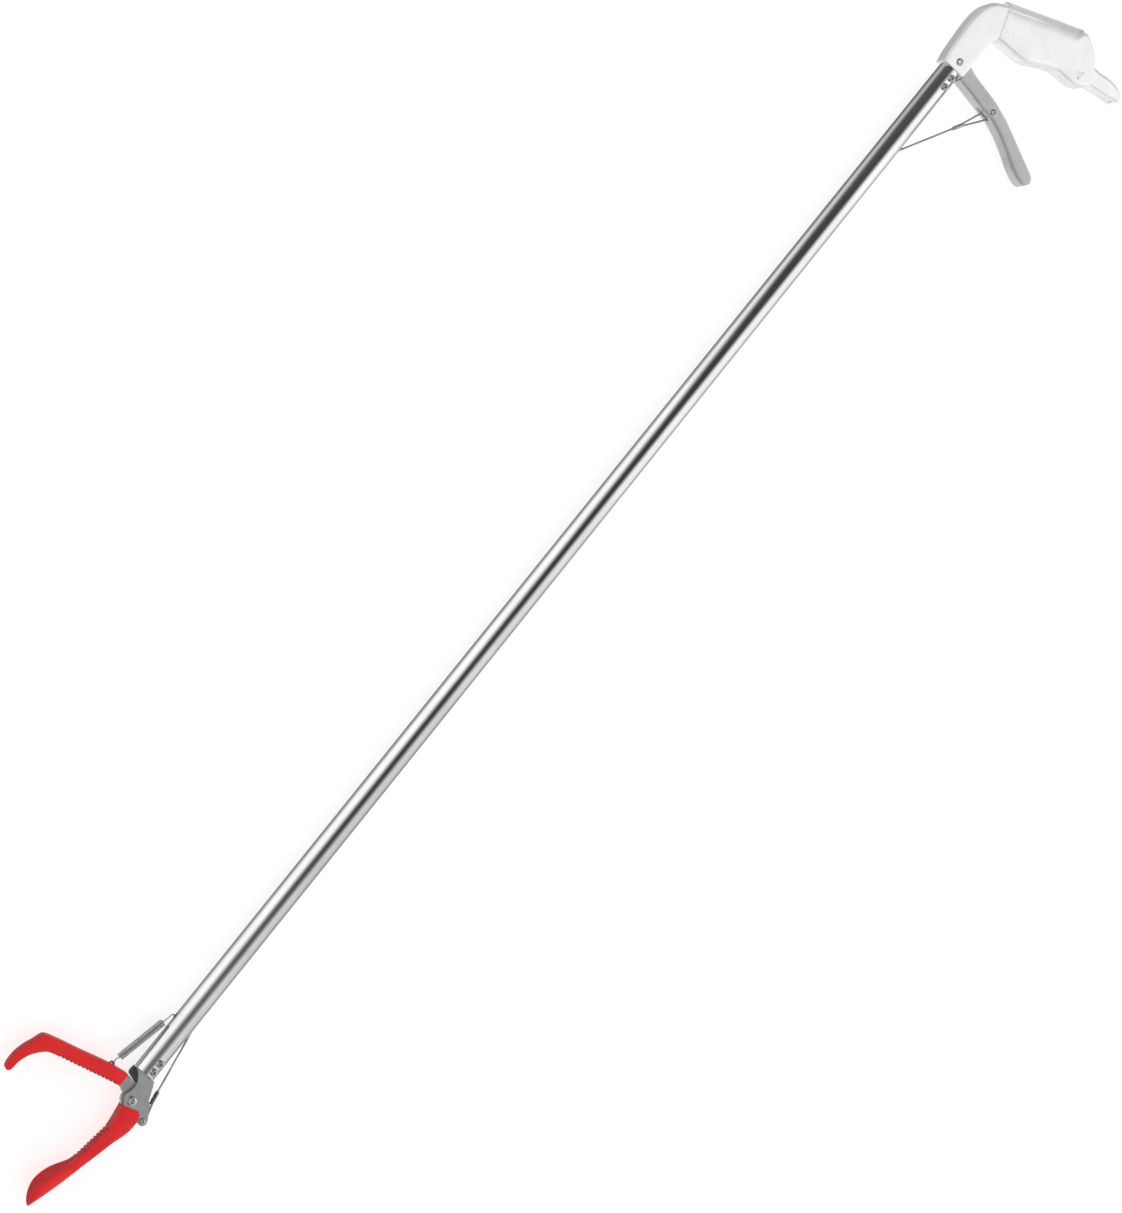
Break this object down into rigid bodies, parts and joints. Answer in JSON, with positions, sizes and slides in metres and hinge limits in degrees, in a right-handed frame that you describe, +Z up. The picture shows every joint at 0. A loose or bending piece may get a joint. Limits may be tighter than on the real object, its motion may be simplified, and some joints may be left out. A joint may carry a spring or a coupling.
{
  "type": "reacher grabber",
  "caption": "Long-handled reacher grabber: straight tube, pistol-grip trigger handle, and a spring-opened upper jaw that closes on a fixed scoop-tipped lower jaw by a cable.",
  "frame": {"origin": "under the middle of the tool's box, on the surface that it lies on with the jaws open", "axes": "+X along the tube from the jaws to the handle, +Y towards the back of the handle and the return spring, +Z up, across the jaws, parallel to both pivots"},
  "size_m": [1.2294, 0.212, 0.026],
  "materials": {
    "tube_chrome": "polished bright plating",
    "pressed_steel": "bright zinc-plated pressed sheet, satin",
    "zinc_plate": "dull zinc plating",
    "rivet_steel": "bright rolled rivet",
    "dark_steel": "dull dark crimped metal",
    "rope_steel": "twisted strand, plain",
    "red_plastic": "moulded, satin gloss"
  },
  "bodies": {
    "stick": {"tube": "tube_chrome", "fork_cheek_near": "zinc_plate", "fork_cheek_far": "zinc_plate", "fork_rivet_front": "rivet_steel", "fork_rivet_rear": "rivet_steel", "jaw_pivot_pin": "rivet_steel", "pivot_spacer_near": "zinc_plate", "pivot_spacer_far": "zinc_plate", "lower_jaw": "red_plastic", "handle_frame": "pressed_steel", "grip_cover": "pressed_steel", "tube_rivet_front": "rivet_steel", "tube_rivet_rear": "rivet_steel", "trigger_pivot_pin": "rivet_steel"},
    "trigger": {"trigger": "pressed_steel", "trigger_cable_pin": "rivet_steel", "cable_bush": "zinc_plate"},
    "jaw": {"jaw_lever": "zinc_plate", "upper_jaw": "red_plastic", "spring_eyelet": "dark_steel", "tail_pin": "rivet_steel"},
    "cable_top": {"cable_upper": "rope_steel", "cable_ferrule_upper": "dark_steel", "cable_eye_upper": "rope_steel"},
    "cable_mid": {"cable_inner": "rope_steel"},
    "cable_bottom": {"cable_lower": "rope_steel", "cable_ferrule_lower": "dark_steel", "cable_eye_lower": "rope_steel"},
    "spring_top": {"spring_hook_upper": "zinc_plate"},
    "spring_foot": {"spring_hook_lower": "zinc_plate", "spring_turn_lower": "zinc_plate", "spring_coil": "zinc_plate"},
    "spring_head": {"spring_turn_upper": "zinc_plate"}
  },
  "joints": [
    {"name": "trigger_pivot", "type": "hinge", "parent": "stick", "child": "trigger", "pos_m": [0.5192, 0.0194, 0.013], "axis": [0, 0, 1], "range_deg": [0, 23], "stiffness_Nm_per_rad": 1.5, "springref_deg": -8.59},
    {"name": "jaw_pivot", "type": "hinge", "parent": "stick", "child": "jaw", "pos_m": [-0.5098, 0.0149, 0.013], "axis": [0, 0, 1], "range_deg": [0, 58.05]},
    {"name": "upper_cable_turn", "type": "hinge", "parent": "trigger", "child": "cable_top", "pos_m": [0.5097, -0.0291, 0.013], "axis": [0, 0, 1], "range_deg": [-17.9, 0]},
    {"name": "cable_slide", "type": "slide", "parent": "stick", "child": "cable_mid", "axis": [1, 0, 0], "range_m": [0, 0.01785]},
    {"name": "lower_cable_turn", "type": "hinge", "parent": "jaw", "child": "cable_bottom", "pos_m": [-0.5168, -0.0021, 0.013], "axis": [0, 0, 1], "range_deg": [-56.3, 0]},
    {"name": "spring_swing", "type": "hinge", "parent": "stick", "child": "spring_top", "pos_m": [-0.4418, 0.0302, 0.013], "axis": [0, 0, 1], "range_deg": [0, 6.3]},
    {"name": "spring_foot_turn", "type": "hinge", "parent": "jaw", "child": "spring_foot", "pos_m": [-0.4975, 0.043, 0.013], "axis": [0, 0, 1], "range_deg": [-51.9, 0]},
    {"name": "spring_stretch", "type": "slide", "parent": "spring_foot", "child": "spring_head", "axis": [0.9746, -0.224, 0], "range_m": [0, 0.0288], "deforming": ["spring_coil"]}
  ],
  "couplings": [
    {"joint": "jaw_pivot", "follows": "trigger_pivot", "ratio": 2.5217},
    {"joint": "upper_cable_turn", "follows": "trigger_pivot", "ratio": -0.7761},
    {"joint": "cable_slide", "follows": "trigger_pivot", "m_per_rad": 0.04434},
    {"joint": "lower_cable_turn", "follows": "trigger_pivot", "ratio": -2.4435},
    {"joint": "spring_swing", "follows": "trigger_pivot", "ratio": 0.2713},
    {"joint": "spring_foot_turn", "follows": "trigger_pivot", "ratio": -2.2504},
    {"joint": "spring_stretch", "follows": "trigger_pivot", "m_per_rad": 0.07162}
  ]
}
